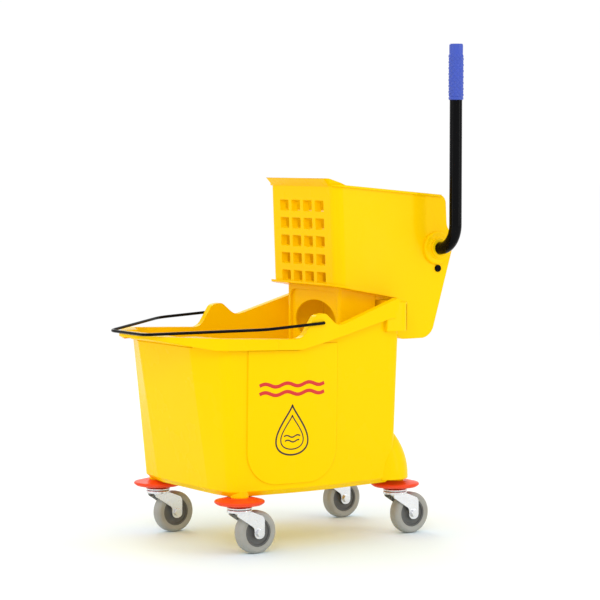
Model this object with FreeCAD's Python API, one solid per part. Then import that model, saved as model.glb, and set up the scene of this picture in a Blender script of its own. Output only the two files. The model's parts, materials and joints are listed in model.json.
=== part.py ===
import FreeCAD, Part
import math
import os

# Mop bucket on four swivel casters, with a bail handle and a side-press wringer that hooks
# over the rear rim.  Millimetres.  Front is -X (pouring lip), rear is +X (wringer),
# left is -Y (lever side).  The origin is on the floor under the middle of the object.

Vec = FreeCAD.Vector
X_AXIS = Vec(1, 0, 0)
Y_AXIS = Vec(0, 1, 0)
Z_AXIS = Vec(0, 0, 1)

FAR = 600.0                   # beyond every face of the model, for cutting shapes

# ---- clearances ----
RUNNING_CLEARANCE = 0.05      # radial, shaft in hole
SIDE_GAP = 0.5                # between faces that turn past each other
FACE_GAP = 0.3                # between a lifted-off piece and what it rests on

# ---- tub: corners are (x, half width, corner radius), front to rear ----
WALL = 3.5
BASE_Z = 112.0                # where the wall meets the bevelled underside
UNDERSIDE_Z = 102.0
FLOOR_THICKNESS = 4.0
BRIM_Z = 430.0                # height at which BRIM_CORNERS are measured
BASE_CORNERS = [(-210, 88, 18), (-202, 155, 22), (-28, 167, 600), (155, 143, 16)]
BRIM_CORNERS = [(-260, 92, 18), (-228, 160, 22), (-28, 174, 600), (164, 150, 16)]
BEVEL = 12.0
PAD_FRONT_X = -150.0          # flat pad under the floor, clear of the bumpers
PAD_REAR_X = 125.0
PAD_HALF = 85.0
PAD_DEPTH = 2.0
RIM_WIDTH = 10.5              # how far the rolled rim stands out from the wall
FRONT_RIM_Z = 383.0
SIDE_RIM_Z = 377.0            # lowest place of the rim, just ahead of the ears
REAR_RIM_Z = 432.0
RIM_PEAK_X = 147.0            # the side rims rise to a point just ahead of the wringer
RIM_PEAK_Z = 440.0
RIM_BEND_X = -240.0           # ahead of this the rim runs level into the lip
BAND_LOW_Z = 340.0            # the rim's band is shaped between these heights
BAND_HIGH_Z = 445.0
FRONT_SKIRT_DEPTH = 20.0
REAR_SKIRT_DEPTH = 29.0
SKIRT_ROOT = 0.5              # thickening of the wall where the skirt covers it
LIP_TIP_X = -320.0
LIP_HALF_WIDTH = 34.0
LIP_ROOT_X = -236.0           # where the lip leaves the tub's sides
LIP_ROOT_HALF = 169.0
LIP_REAR_X = -120.0
LIP_REAR_HALF = 178.0
LIP_DEPTH = 21.0
FLARE_DROP = 24.0             # the slope inside the lip starts this far below the rim
FLARE_REAR_X = -215.0
FLARE_HALF = 98.0
LIP_THICKNESS = 4.0
PANEL_FRONT_X = -174.0        # raised U-shaped panel on each side
PANEL_REAR_X = 10.0
PANEL_BOTTOM_Z = 121.0
PANEL_TOP_Z = 366.0
PANEL_RADIUS = 60.0
PANEL_RISE = 2.5

# ---- ears and bail ----
BAIL_X = -28.0
BAIL_Z = 403.0
EAR_TOP_Z = 419.0
EAR_TOP_FRONT_X = -45.0
EAR_TOP_REAR_X = -24.0
EAR_FOOT_FRONT_X = -72.0
EAR_FOOT_REAR_X = 5.0
EAR_FOOT_REAR_Z = 395.0
WIRE_RADIUS = 2.7
BAIL_CORNER_X = -150.0        # where the bail turns inward
BAIL_FRONT_X = -321.7
BAIL_FRONT_HALF = 61.0
BAIL_FALL = 16.5              # how much lower the front of the bail lies than the ears
BAIL_HEAD_RADIUS = 4.5
ARM_BEND = 60.0               # where the bail's arms turn inward
GRIP_BEND = 30.0              # and where its cross piece starts

# ---- rear lugs that flank the wringer ----
LUG_REAR_X = 177.0
LUG_INNER_Y = 116.0
LUG_FRONT_X = 123.0
LUG_DEPTH = 52.0
LUG_PROUD = 2.0               # how far the lug stands out from the rim beside it

# ---- casters ----
FRONT_STEM_X = -178.75
FRONT_STEM_Y = 142.0
REAR_STEM_X = 178.75
REAR_STEM_Y = 110.5
TRAIL = 32.0                  # wheel axle behind the stem
WHEEL_RADIUS = 38.0
TYRE_WIDTH = 24.0
TYRE_SHOULDER = 7.0
TYRE_DEPTH = 12.5
HUB_RADIUS = WHEEL_RADIUS - TYRE_DEPTH
HUB_WIDTH = 22.0
SLEEVE_RADIUS = 5.5
BOLT_RADIUS = 4.0
NUT_FLATS = 13.0
NUT_HEIGHT = 5.0
BOLT_HEAD_HEIGHT = 4.5
BOLT_END = 6.5                # the bolt's length beyond the fork on the nut's side
STEM_RADIUS = 6.0
RIVET_RADIUS = 8.0
RIVET_HEIGHT = 4.5
STEM_TOP_Z = 140.0
POST_RADIUS = 16.0
RACEWAY_RADIUS = 22.0
FORK_TOP_Z = 80.5
FORK_DEPTH = 5.0
FORK_SHEET = 2.5
LEG_STRIP = 21.0
LEG_SIDE_GAP = 1.3
CUP_TOP_Z = 86.5
BUMPER_RADIUS = 44.3
BUMPER_TOP_Z = 101.0
BUMPER_EDGE_Z = 97.0
BUMPER_EDGE = 9.0
COLLAR_RADIUS = 20.0
FOOT_RADIUS = 45.0            # dome over each rear caster
FOOT_X = 152.0
FOOT_TOP_Z = 209.0
DOME_FULLNESS = 0.79          # the dome's radius at half its height, as a share of its foot

# ---- wringer housing ----
HALF_WIDTH = 110.0            # outside of each side panel
SHELL = 3.5
FACE_TOP_X = 44.0             # perforated front face, which leans forward at its top
FACE_TOP_Z = 640.0
FACE_LOW_X = 51.0
FACE_LOW_Z = 460.0
CHAMFER_X = 12.5
CHAMFER_Y = 12.5
TOP_REAR_X = 275.0
TOP_REAR_Z = 625.0
TOP_SLOPE = 0.0888
FLOOR_REAR_X = 183.0
FLOOR_REAR_Z = 436.0
FLOOR_SLOPE = 0.183
SIDE_FLANGE = 4.0
FRONT_FLANGE = 15.0
FLARE_LOW_Z = 641.0           # the front lip turns out here
FLARE_TOP_Z = 656.0           # and stands a little above the sides
FOOT_FLANGE = 8.0
FACE_PAD = 8.0
SHAFT_X = 271.0
SHAFT_Z = 526.0
BOSS_RADIUS = 30.0
BOSS_RISE = 7.0
COLLAR_RISE = 10.0
GUIDE_X = 275.0
GUIDE_Z = 488.0
GUIDE_SCREW_DEPTH = 14.0
HOLE_COLUMNS = 4
HOLE_ROWS = 5
HOLE_WIDTH = 29.0
HOLE_HEIGHT = 21.0
HOLE_PITCH_Y = 38.5
HOLE_PITCH_Z = 32.6
HOLE_TOP_ROW_Z = 605.0
HOLE_TAPER = 3.0
LEG_HALF = 86.0
LEG_FRONT_X = 71.0
LEG_REAR_X = 153.0
LEG_BOTTOM_Z = 236.0
LEG_RECESS = 5.0
SLOT_COUNT = 7                # drain slots through the floor, over the leg
SLOT_PITCH = 22.0
SLOT_HALF = 5.0
LEG_OPENING_HALF = 66.0
LEG_OPENING_Z = 392.0
LEG_OPENING_HEIGHT = 78.0
PLAN_REAR_X = 345.0           # the plan is lofted to here and between these heights
PLAN_LOW_Z = 330.0
PLAN_HIGH_Z = 700.0
TAIL_BOTTOM_Z = 360.0
TAIL_SLOPE = 0.3
TAIL_REACH = 43.0             # from the shaft to the tail's rear corner
TAIL_RISE = 15.0
SHOULDER_REACH = 25.0         # and to the shoulder above it
SHOULDER_RISE = 40.0
DECK_FRONT_X = 212.0          # the cover over the gears starts here

# ---- lever, shaft and racks ----
LEVER_RADIUS = 11.5
LEVER_WALL = 2.0
LEVER_OUT = 59.5              # from the side panel to the upright part
LEVER_BEND = 45.0
LEVER_TOP_Z = 900.0
GRIP_LENGTH = 102.0
GRIP_RADIUS = 14.0
GRIP_CAP = 5.0
BUSH_WALL = 3.0
BUSH_FLANGE = 4.0
PINION_TEETH = 12
GEAR_MODULE = 4.5
PRESSURE_ANGLE = math.radians(20)
PINION_WIDTH = 14.0
PINION_Y = 45.0
RACK_ADDENDUM = 3.1
BACKLASH = 0.9
RACK_BODY = 8.0
ROOT_GAP = 0.6
RACK_PLAIN = 22.0             # the teeth start this far ahead of the shaft
PINION_HUB = 12.0
PINION_HUB_RADIUS = 18.0
RACK_REAR_X = 324.4
LEVER_SWING = math.radians(90)
PIN_RADIUS = 2.5
PLATE_X = 183.0
PLATE_THICKNESS = 6.0
PLATE_SIDE_GAP = 2.0
PLATE_BOTTOM_Z = 472.0
PLATE_TOP_Z = 620.0
RIDGE_COUNT = 8               # upright ridges that grip the mop
RIDGE_PITCH = 24.0
RIDGE_HALF = 4.0
GUIDE_SECTION_X = 20.0
SCREW_RADIUS = 3.0
SCREW_HEAD_RADIUS = 6.5

NODES = {}


# ---------------------------------------------------------------- helpers

def rounded_wire(corners, place):
    """Closed wire through corners (a, b, radius); place(vector) maps it into space."""
    count = len(corners)
    points = [Vec(corner[0], corner[1], 0) for corner in corners]
    ends = []
    arcs = []
    for i in range(count):
        before = (points[i - 1] - points[i]).normalize()
        after = (points[(i + 1) % count] - points[i]).normalize()
        radius = corners[i][2]
        if radius == 0:
            ends.append((points[i], points[i]))
            arcs.append(None)
            continue
        half = before.getAngle(after) / 2
        reach = radius / math.tan(half)
        start = points[i] + before * reach
        end = points[i] + after * reach
        bisector = (before + after).normalize()
        middle = points[i] + bisector * (radius / math.sin(half) - radius)
        ends.append((start, end))
        arcs.append(Part.Arc(place(start), place(middle), place(end)).toShape())
    edges = []
    for i in range(count):
        if arcs[i]:
            edges.append(arcs[i])
        leave = place(ends[i][1])
        arrive = place(ends[(i + 1) % count][0])
        edges.append(Part.LineSegment(leave, arrive).toShape())
    return Part.Wire(edges)


def grown(corners, grow):
    """Anticlockwise outline moved outward by grow, its corner radii following."""
    count = len(corners)
    result = []
    for i in range(count):
        here = Vec(corners[i][0], corners[i][1], 0)
        previous = corners[i - 1]
        following = corners[(i + 1) % count]
        arriving = (here - Vec(previous[0], previous[1], 0)).normalize()
        leaving = (Vec(following[0], following[1], 0) - here).normalize()
        normal_in = Vec(arriving.y, -arriving.x, 0)
        normal_out = Vec(leaving.y, -leaving.x, 0)
        moved = here + (normal_in + normal_out) * (grow / (1 + normal_in.dot(normal_out)))
        turns_left = arriving.cross(leaving).z > 0
        radius = corners[i][2]
        if radius:
            radius = max(radius + (grow if turns_left else -grow), 0.5)
        result.append((moved.x, moved.y, radius))
    return result


def both_sides(half_corners):
    """Full anticlockwise outline from corners (x, half width, radius), front to rear."""
    left = [(x, -half, radius) for x, half, radius in half_corners]
    right = [(x, half, radius) for x, half, radius in reversed(half_corners)]
    return left + right


def plan_wire(corners, z):
    return rounded_wire(corners, lambda point: Vec(point.x, point.y, z))


def upright_wire(corners, x):
    return rounded_wire(corners, lambda point: Vec(x, point.x, point.y))


def loft(wires):
    return Part.makeLoft(wires, True, True)


def plate_xz(corners, y_low, y_high):
    """Prism along Y of an outline given as (x, z, radius)."""
    wire = rounded_wire(corners, lambda point: Vec(point.x, y_low, point.y))
    return Part.Face(wire).extrude(Vec(0, y_high - y_low, 0))


def plate_xy(corners, z_low, z_high):
    """Prism along Z of an outline given as (x, y, radius)."""
    return Part.Face(plan_wire(corners, z_low)).extrude(Vec(0, 0, z_high - z_low))


def plate_yz(corners, x_low, x_high):
    """Prism along X of an outline given as (y, z, radius)."""
    return Part.Face(upright_wire(corners, x_low)).extrude(Vec(x_high - x_low, 0, 0))


def block(x_low, x_high, y_low, y_high, z_low, z_high):
    corner = Vec(x_low, y_low, z_low)
    return Part.makeBox(x_high - x_low, y_high - y_low, z_high - z_low, corner)


def rod_y(x, z, radius, y_low, y_high):
    return Part.makeCylinder(radius, y_high - y_low, Vec(x, y_low, z), Y_AXIS)


def rod_z(x, y, radius, z_low, z_high):
    return Part.makeCylinder(radius, z_high - z_low, Vec(x, y, z_low), Z_AXIS)


def turned_z(x, y, profile):
    """Solid of revolution about a vertical axis; profile is (radius, z, corner radius)."""
    wire = rounded_wire(profile, lambda point: Vec(x + point.x, y, point.y))
    return Part.Face(wire).revolve(Vec(x, y, 0), Z_AXIS, 360)


def turned_y(x, z, profile):
    """Solid of revolution about an axis along Y; profile is (radius, y, corner radius)."""
    wire = rounded_wire(profile, lambda point: Vec(x + point.x, point.y, z))
    return Part.Face(wire).revolve(Vec(x, 0, z), Y_AXIS, 360)


def hexagon_y(x, z, across_flats, y_low, y_high):
    radius = across_flats / math.sqrt(3)
    corners = []
    for i in range(6):
        angle = math.radians(60 * i)
        corners.append((x + radius * math.cos(angle), z + radius * math.sin(angle), 0))
    return plate_xz(corners, y_low, y_high)


def mirrored(shape):
    return shape.mirror(Vec(0, 0, 0), Y_AXIS)


def with_mirror(shape):
    return shape.fuse(mirrored(shape))


def swept(path_edges, start, direction, radius):
    """Round bar of one radius along edges that join smoothly."""
    section = Part.Wire([Part.Circle(start, direction, radius).toShape()])
    return Part.Wire(path_edges).makePipeShell([section], True, False)


def rounded_path(points, radii):
    """Edges of an open path through points, with an arc at each inner point."""
    edges = []
    cursor = points[0]
    for i in range(1, len(points) - 1):
        before = (points[i - 1] - points[i]).normalize()
        after = (points[i + 1] - points[i]).normalize()
        half = before.getAngle(after) / 2
        radius = radii[i - 1]
        reach = radius / math.tan(half)
        start = points[i] + before * reach
        end = points[i] + after * reach
        bisector = (before + after).normalize()
        middle = points[i] + bisector * (radius / math.sin(half) - radius)
        edges.append(Part.LineSegment(cursor, start).toShape())
        edges.append(Part.Arc(start, middle, end).toShape())
        cursor = end
    edges.append(Part.LineSegment(cursor, points[-1]).toShape())
    return edges


def keep(name, shape):
    solids = shape.removeSplitter().Solids
    if len(solids) == 1:
        NODES[name] = solids[0]
    else:
        NODES[name] = Part.makeCompound(solids)


# ---------------------------------------------------------------- tub

def tub_corners(z):
    """Outline of the tub's outer wall at one height."""
    share = (z - BASE_Z) / (BRIM_Z - BASE_Z)
    half = []
    for base, brim in zip(BASE_CORNERS, BRIM_CORNERS):
        x = base[0] + (brim[0] - base[0]) * share
        y = base[1] + (brim[1] - base[1]) * share
        half.append((x, y, base[2]))
    return both_sides(half)


def tub_block(grow, z_low, z_high):
    low = plan_wire(grown(tub_corners(z_low), grow), z_low)
    high = plan_wire(grown(tub_corners(z_high), grow), z_high)
    return loft([low, high])


def rim_top(drop=0.0):
    """Everything lower than the rim's side view: low front, ear, rising rear."""
    corners = [
        (-FAR, 0, 0),
        (FAR, 0, 0),
        (FAR, REAR_RIM_Z - drop, 0),
        (RIM_PEAK_X + 9, REAR_RIM_Z - drop, 4),
        (RIM_PEAK_X, RIM_PEAK_Z - drop, 5),
        (EAR_FOOT_REAR_X, EAR_FOOT_REAR_Z - drop, 24),
        (EAR_TOP_REAR_X, EAR_TOP_Z + 1 - drop, 12),
        (EAR_TOP_FRONT_X, EAR_TOP_Z - 2 - drop, 14),
        (EAR_FOOT_FRONT_X, SIDE_RIM_Z - 1 - drop, 24),
        (RIM_BEND_X, FRONT_RIM_Z - drop, 0),
        (-FAR, FRONT_RIM_Z - drop, 0),
    ]
    return plate_xz(corners, -FAR, FAR)


def skirt_bottom(drop=0.0):
    """Everything higher than the lower edge of the rim's skirt."""
    front_low = FRONT_RIM_Z - LIP_DEPTH - drop
    rear_low = REAR_RIM_Z - REAR_SKIRT_DEPTH - drop
    corners = [
        (-FAR, FRONT_RIM_Z - LIP_THICKNESS - 1 - drop, 0),
        (LIP_TIP_X + 10, FRONT_RIM_Z - LIP_THICKNESS - 1 - drop, 0),
        (RIM_BEND_X, front_low, 20),
        (EAR_FOOT_FRONT_X, SIDE_RIM_Z - FRONT_SKIRT_DEPTH - drop, 30),
        (LUG_FRONT_X + 6, rear_low, 0),
        (FAR, rear_low, 0),
        (FAR, FAR, 0),
        (-FAR, FAR, 0),
    ]
    return plate_xz(corners, -FAR, FAR)


def lip_beak(inset):
    """Pouring lip ahead of the front wall, drawn to a blunt beak."""
    half = [
        (LIP_TIP_X, LIP_HALF_WIDTH, 45),
        (LIP_ROOT_X, LIP_ROOT_HALF, 34),
        (LIP_REAR_X, LIP_REAR_HALF, 0),
    ]
    return plate_xy(grown(both_sides(half), -inset), BAND_LOW_Z, BAND_HIGH_Z)


def rolled_rim():
    """Rim that turns out from the wall and hangs down, as one solid band."""
    band = tub_block(RIM_WIDTH, BAND_LOW_Z, BAND_HIGH_Z).fuse(lip_beak(0))
    return band.common(rim_top()).common(skirt_bottom())


def lip_flare(grow_low, grow_high, drop):
    """Slope from the inside of the front wall out onto the lip."""
    low_z = FRONT_RIM_Z - FLARE_DROP - drop
    high_z = FRONT_RIM_Z + 1 - drop
    low = plan_wire(grown(tub_corners(low_z), grow_low), low_z)
    high = plan_wire(grown(tub_corners(high_z), grow_high), high_z)
    return loft([low, high]).common(block(-FAR, FLARE_REAR_X, -FLARE_HALF, FLARE_HALF, 0, FAR))


def rim_hollow():
    """Space between the wall and the hanging skirt, open below."""
    space = tub_block(RIM_WIDTH - WALL, BAND_LOW_Z - 5, BAND_HIGH_Z).fuse(lip_beak(WALL))
    space = space.common(rim_top(WALL)).common(skirt_bottom(1))
    return space.cut(lip_flare(-1, 24, WALL + 1))


def side_panels():
    """Slightly raised U-shaped panel on each side wall."""
    outline = [
        (PANEL_FRONT_X, PANEL_BOTTOM_Z, PANEL_RADIUS),
        (PANEL_REAR_X, PANEL_BOTTOM_Z, PANEL_RADIUS),
        (PANEL_REAR_X, PANEL_TOP_Z, 0),
        (PANEL_FRONT_X, PANEL_TOP_Z, 0),
    ]
    return plate_xz(outline, -FAR, FAR).common(tub_block(PANEL_RISE, BASE_Z, PANEL_TOP_Z))


def lug_outer_y():
    return BRIM_CORNERS[-1][1] + RIM_WIDTH + LUG_PROUD


def lug():
    """Block at one rear corner of the rim."""
    outline = [
        (LUG_FRONT_X, LUG_INNER_Y, 0),
        (LUG_REAR_X, LUG_INNER_Y, 6),
        (LUG_REAR_X, lug_outer_y(), 20),
        (LUG_FRONT_X, lug_outer_y(), 2),
    ]
    return plate_xy(outline, REAR_RIM_Z - LUG_DEPTH, REAR_RIM_Z)


def lug_hollow():
    """Space inside the lug behind the rear wall, open below."""
    wall_x = BRIM_CORNERS[-1][0]
    low_z = REAR_RIM_Z - LUG_DEPTH - 1
    inner_y = LUG_INNER_Y + WALL
    outer_y = lug_outer_y() - WALL
    return block(wall_x, LUG_REAR_X - WALL, inner_y, outer_y, low_z, REAR_RIM_Z - WALL)


def foot_dome(radius, top_z, bottom_z):
    x = FOOT_X
    y = REAR_STEM_Y
    arc_start = Vec(x + radius, y, UNDERSIDE_Z + 10)
    arc_middle = Vec(x + radius * DOME_FULLNESS, y, (UNDERSIDE_Z + 10 + top_z) / 2)
    top = Vec(x, y, top_z)
    bottom = Vec(x, y, bottom_z)
    corner = Vec(x + radius, y, bottom_z)
    edges = [
        Part.LineSegment(bottom, corner).toShape(),
        Part.LineSegment(corner, arc_start).toShape(),
        Part.Arc(arc_start, arc_middle, top).toShape(),
        Part.LineSegment(top, bottom).toShape(),
    ]
    return Part.Face(Part.Wire(edges)).revolve(bottom, Z_AXIS, 360)


def stem_places():
    """Name and place of each caster stem."""
    places = []
    for end, x, y in (("front", FRONT_STEM_X, FRONT_STEM_Y), ("rear", REAR_STEM_X, REAR_STEM_Y)):
        places.append((end + "_left", x, -y))
        places.append((end + "_right", x, y))
    return places


def floor_pad():
    outline = [
        (PAD_FRONT_X, -PAD_HALF, 20),
        (PAD_REAR_X, -PAD_HALF, 20),
        (PAD_REAR_X, PAD_HALF, 20),
        (PAD_FRONT_X, PAD_HALF, 20),
    ]
    return plate_xy(outline, UNDERSIDE_Z - PAD_DEPTH, UNDERSIDE_Z + 1)


def tub():
    hull = tub_block(0, BASE_Z, BAND_HIGH_Z).common(rim_top())
    floor_wire = plan_wire(grown(tub_corners(BASE_Z), -BEVEL), UNDERSIDE_Z)
    bevel = loft([floor_wire, plan_wire(tub_corners(BASE_Z), BASE_Z)])
    body = hull.fuse([bevel, floor_pad(), side_panels(), rolled_rim(), with_mirror(lug())])
    body = body.cut(rim_hollow().cut(tub_block(SKIRT_ROOT, BAND_LOW_Z - 10, BAND_HIGH_Z + 5)))
    body = body.cut(lug_hollow()).cut(mirrored(lug_hollow()))

    floor_top = UNDERSIDE_Z + FLOOR_THICKNESS
    wall_z = BASE_Z + FLOOR_THICKNESS
    cavity_low = loft([
        plan_wire(grown(tub_corners(BASE_Z), -BEVEL - 1), floor_top),
        plan_wire(grown(tub_corners(wall_z), -WALL), wall_z),
    ])
    body = body.cut(tub_block(-WALL, wall_z, BAND_HIGH_Z + 5)).cut(cavity_low)
    body = body.cut(lip_flare(-WALL - 1, 22, 0))

    dome = foot_dome(FOOT_RADIUS, FOOT_TOP_Z, UNDERSIDE_Z + 6)
    shell = dome.cut(foot_dome(FOOT_RADIUS - WALL, FOOT_TOP_Z - WALL, UNDERSIDE_Z))
    body = body.fuse(with_mirror(shell).cut(tub_block(-WALL / 2, UNDERSIDE_Z, 300)))

    around_posts = tub_block(0, UNDERSIDE_Z, 300).fuse(with_mirror(dome))
    posts = []
    for name, x, y in stem_places():
        post = rod_z(x, y, POST_RADIUS, UNDERSIDE_Z, STEM_TOP_Z + 10)
        posts.append(post.common(around_posts))
        posts.append(rod_z(x, y, POST_RADIUS, BUMPER_TOP_Z, BASE_Z))
    body = body.fuse(posts)
    for name, x, y in stem_places():
        body = body.cut(rod_z(x, y, STEM_RADIUS, BUMPER_TOP_Z - 1, STEM_TOP_Z))
    ear_hole = rod_y(BAIL_X, BAIL_Z, WIRE_RADIUS + RUNNING_CLEARANCE, ear_inner_y() - 2, 200)
    body = body.cut(with_mirror(ear_hole))
    keep("bucket_tub", body)


def wall_half_width(z):
    """Half width of the tub's outer wall at the ears, on the arc of its shallow corner."""
    rear, ear, front = [Vec(x, y, 0) for x, y, radius in tub_corners(z)[4:7]]
    half_angle = (rear - ear).getAngle(front - ear) / 2
    radius = BRIM_CORNERS[2][2]
    return ear.y - radius * (1 / math.sin(half_angle) - 1)


def ear_inner_y():
    return wall_half_width(BAIL_Z) + RIM_WIDTH - WALL


def ear_outer_y():
    """Outer face of the ear at its top, where the draft makes it widest."""
    return wall_half_width(EAR_TOP_Z) + RIM_WIDTH


# ---------------------------------------------------------------- bail

def bail():
    """Bent wire in a plane through the ears, its ends turned in and headed over."""
    arm_y = ear_outer_y() + SIDE_GAP + WIRE_RADIUS
    fall = BAIL_FALL / (BAIL_X - BAIL_FRONT_X)

    def on_plane(x, y):
        return Vec(x, y, BAIL_Z - (BAIL_X - x) * fall)

    head_y = ear_inner_y() - SIDE_GAP
    start = on_plane(BAIL_X, -head_y)
    points = [
        start,
        on_plane(BAIL_X, -arm_y),
        on_plane(BAIL_CORNER_X, -arm_y),
        on_plane(BAIL_FRONT_X, -BAIL_FRONT_HALF),
        on_plane(BAIL_FRONT_X, BAIL_FRONT_HALF),
        on_plane(BAIL_CORNER_X, arm_y),
        on_plane(BAIL_X, arm_y),
        on_plane(BAIL_X, head_y),
    ]
    tight = WIRE_RADIUS + 0.6
    edges = rounded_path(points, [tight, ARM_BEND, GRIP_BEND, GRIP_BEND, ARM_BEND, tight])
    wire = swept(edges, start, Y_AXIS, WIRE_RADIUS)
    head = rod_y(BAIL_X, BAIL_Z, BAIL_HEAD_RADIUS, head_y - 2, head_y)
    keep("bail_handle", wire.fuse(with_mirror(head)))


# ---------------------------------------------------------------- casters

def bumper(name, x, y):
    collar_z = CUP_TOP_Z
    profile = [
        (STEM_RADIUS, collar_z, 0),
        (COLLAR_RADIUS, collar_z, 1.5),
        (COLLAR_RADIUS, BUMPER_EDGE_Z - BUMPER_EDGE, 2),
        (BUMPER_RADIUS - 5, BUMPER_EDGE_Z - BUMPER_EDGE + 1, 3),
        (BUMPER_RADIUS, BUMPER_EDGE_Z - BUMPER_EDGE / 2, 2.5),
        (BUMPER_RADIUS, BUMPER_EDGE_Z - 1, 3),
        (POST_RADIUS + 8, BUMPER_TOP_Z, 6),
        (STEM_RADIUS, BUMPER_TOP_Z, 0),
    ]
    keep(name + "_bumper", turned_z(x, y, profile))


def caster_stem(name, x, y):
    """Stem in the tub's post, running down through the fork to a rivet head."""
    head_z = FORK_TOP_Z - FORK_DEPTH - SIDE_GAP
    shank = rod_z(x, y, STEM_RADIUS, head_z - 1, STEM_TOP_Z)
    profile = [
        (0, head_z - RIVET_HEIGHT, 0),
        (RIVET_RADIUS, head_z - RIVET_HEIGHT, 2.5),
        (RIVET_RADIUS, head_z, 0),
        (0, head_z, 0),
    ]
    keep(name + "_caster_stem", shank.fuse(turned_z(x, y, profile)))


def caster_cup(name, x, y):
    low_z = FORK_TOP_Z + SIDE_GAP
    profile = [
        (STEM_RADIUS, low_z, 0),
        (RACEWAY_RADIUS, low_z, 1.5),
        (RACEWAY_RADIUS, low_z + 3, 1.2),
        (RACEWAY_RADIUS - 5, CUP_TOP_Z, 2),
        (STEM_RADIUS, CUP_TOP_Z, 0),
    ]
    keep(name + "_caster_cup", turned_z(x, y, profile))


def caster_fork(name, x, y):
    """Round crown with a raceway, and two flat legs that trail back to the axle."""
    crown_z = FORK_TOP_Z - FORK_DEPTH
    bore = STEM_RADIUS + RUNNING_CLEARANCE
    profile = [
        (bore, crown_z, 0),
        (RACEWAY_RADIUS, crown_z, 0),
        (RACEWAY_RADIUS, FORK_TOP_Z, 2),
        (bore, FORK_TOP_Z, 0),
    ]
    crown = turned_z(x, y, profile)
    axle_x = x + TRAIL
    half = LEG_STRIP / 2
    outline = [
        (x - 14, crown_z + 1, 0),
        (x - 13, crown_z - 6, 4),
        (axle_x - half, WHEEL_RADIUS + 9, 10),
        (axle_x - half, WHEEL_RADIUS - 11, half - 1),
        (axle_x + half, WHEEL_RADIUS - 11, half - 1),
        (axle_x + half, crown_z - 10, 10),
        (x + 15, crown_z + 1, 0),
    ]
    leg_y = TYRE_WIDTH / 2 + LEG_SIDE_GAP
    left = plate_xz(outline, y - leg_y - FORK_SHEET, y - leg_y)
    right = plate_xz(outline, y + leg_y, y + leg_y + FORK_SHEET)
    fork = crown.fuse([left, right])
    fork = fork.cut(rod_y(axle_x, WHEEL_RADIUS, BOLT_RADIUS, y - 40, y + 40))
    keep(name + "_caster_fork", fork)


def caster_axle(name, x, y):
    axle_x = x + TRAIL
    z = WHEEL_RADIUS
    inner_y = TYRE_WIDTH / 2 + LEG_SIDE_GAP
    outer_y = inner_y + FORK_SHEET
    shank = rod_y(axle_x, z, BOLT_RADIUS, y - outer_y, y + outer_y + BOLT_END)
    head = hexagon_y(axle_x, z, NUT_FLATS, y - outer_y - BOLT_HEAD_HEIGHT, y - outer_y)
    keep(name + "_axle_bolt", shank.fuse(head))
    nut = hexagon_y(axle_x, z, NUT_FLATS, y + outer_y, y + outer_y + NUT_HEIGHT)
    keep(name + "_axle_nut", nut.cut(rod_y(axle_x, z, BOLT_RADIUS, y, y + 40)))
    sleeve = rod_y(axle_x, z, SLEEVE_RADIUS, y - inner_y, y + inner_y)
    keep(name + "_axle_sleeve", sleeve.cut(rod_y(axle_x, z, BOLT_RADIUS, y - 40, y + 40)))


def caster_wheel(name, x, y):
    axle_x = x + TRAIL
    bore = SLEEVE_RADIUS + RUNNING_CLEARANCE
    half_hub = HUB_WIDTH / 2
    hub_profile = [
        (bore, y - half_hub, 0),
        (11, y - half_hub, 1),
        (12, y - half_hub + 3, 1),
        (HUB_RADIUS - 4, y - half_hub + 3, 1),
        (HUB_RADIUS - 3, y - half_hub + 0.5, 0.5),
        (HUB_RADIUS, y - half_hub + 0.5, 0),
        (HUB_RADIUS, y + half_hub - 0.5, 0),
        (HUB_RADIUS - 3, y + half_hub - 0.5, 0.5),
        (HUB_RADIUS - 4, y + half_hub - 3, 1),
        (12, y + half_hub - 3, 1),
        (11, y + half_hub, 1),
        (bore, y + half_hub, 0),
    ]
    keep(name + "_wheel_hub", turned_y(axle_x, WHEEL_RADIUS, hub_profile))
    half = TYRE_WIDTH / 2
    tyre_profile = [
        (HUB_RADIUS, y - half + 1, 0),
        (WHEEL_RADIUS - 6, y - half, 3),
        (WHEEL_RADIUS, y - half + 2, TYRE_SHOULDER),
        (WHEEL_RADIUS, y + half - 2, TYRE_SHOULDER),
        (WHEEL_RADIUS - 6, y + half, 3),
        (HUB_RADIUS, y + half - 1, 0),
    ]
    keep(name + "_wheel_tyre", turned_y(axle_x, WHEEL_RADIUS, tyre_profile))


def casters():
    for name, x, y in stem_places():
        bumper(name, x, y)
        caster_stem(name, x, y)
        caster_cup(name, x, y)
        caster_fork(name, x, y)
        caster_axle(name, x, y)
        caster_wheel(name, x, y)


# ---------------------------------------------------------------- wringer housing

def face_x(z):
    """Outside of the perforated front face at one height."""
    lean = (FACE_TOP_X - FACE_LOW_X) / (FACE_TOP_Z - FACE_LOW_Z)
    return FACE_LOW_X + (z - FACE_LOW_Z) * lean


def top_z(x):
    """Height of the housing's sloping top."""
    return TOP_REAR_Z + (TOP_REAR_X - x) * TOP_SLOPE


def floor_z(x):
    """Underside of the basket's sloping floor."""
    return FLOOR_REAR_Z + (FLOOR_REAR_X - x) * FLOOR_SLOPE


def housing_plan(z, grow):
    half = [
        (face_x(z), HALF_WIDTH - CHAMFER_Y, 10),
        (face_x(z) + CHAMFER_X, HALF_WIDTH, 14),
        (PLAN_REAR_X, HALF_WIDTH, 0),
    ]
    return plan_wire(grown(both_sides(half), grow), z)


def housing_column(grow):
    return loft([housing_plan(PLAN_LOW_Z, grow), housing_plan(PLAN_HIGH_Z, grow)])


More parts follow.
